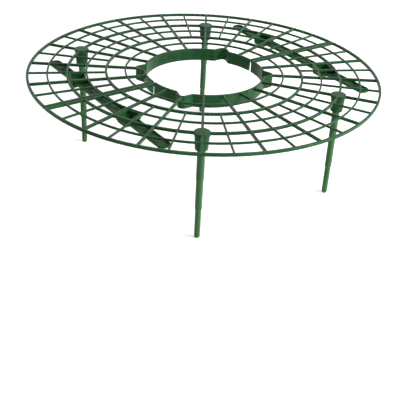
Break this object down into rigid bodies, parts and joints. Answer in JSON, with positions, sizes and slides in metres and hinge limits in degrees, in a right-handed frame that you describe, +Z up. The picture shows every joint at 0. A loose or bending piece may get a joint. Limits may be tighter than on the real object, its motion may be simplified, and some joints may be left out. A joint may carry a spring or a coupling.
{
  "type": "strawberry plant support",
  "caption": "Round open plastic grid in two clipped halves, raised on push-in legs, that holds a strawberry plant's leaves and fruit clear of the soil.",
  "frame": {"origin": "on the ground under the middle of the plant hole, at the level of the leg tips", "axes": "+Z up, +Y along the seam between the two halves, +X along the clip bars"},
  "size_m": [0.3016, 0.3, 0.094],
  "materials": {
    "grid_green": "satin",
    "clip_green": "satin",
    "leg_green": "satin"
  },
  "bodies": {
    "back_half": {"grid_half_back": "grid_green"},
    "front_half": {"grid_half_front": "grid_green"},
    "left_clip": {"clip_bar_left": "clip_green"},
    "right_clip": {"clip_bar_right": "clip_green"},
    "front_leg": {"leg_front": "leg_green"},
    "right_leg": {"leg_right": "leg_green"},
    "back_leg": {"leg_back": "leg_green"},
    "left_leg": {"leg_left": "leg_green"}
  },
  "joints": [
    {"name": "front_half_lift", "type": "slide", "parent": "back_half", "child": "front_half", "axis": [0, 0, 1], "range_m": [0, 0.02]},
    {"name": "clip_left_release", "type": "slide", "parent": "back_half", "child": "left_clip", "axis": [0, 0, -1], "range_m": [0, 0.012]},
    {"name": "clip_right_release", "type": "slide", "parent": "back_half", "child": "right_clip", "axis": [0, 0, -1], "range_m": [0, 0.012]},
    {"name": "leg_front_pull", "type": "slide", "parent": "front_half", "child": "front_leg", "axis": [0, 0, -1], "range_m": [0, 0.016]},
    {"name": "leg_right_pull", "type": "slide", "parent": "front_half", "child": "right_leg", "axis": [0, 0, -1], "range_m": [0, 0.016]},
    {"name": "leg_back_pull", "type": "slide", "parent": "back_half", "child": "back_leg", "axis": [0, 0, -1], "range_m": [0, 0.016]},
    {"name": "leg_left_pull", "type": "slide", "parent": "back_half", "child": "left_leg", "axis": [0, 0, -1], "range_m": [0, 0.016]}
  ]
}
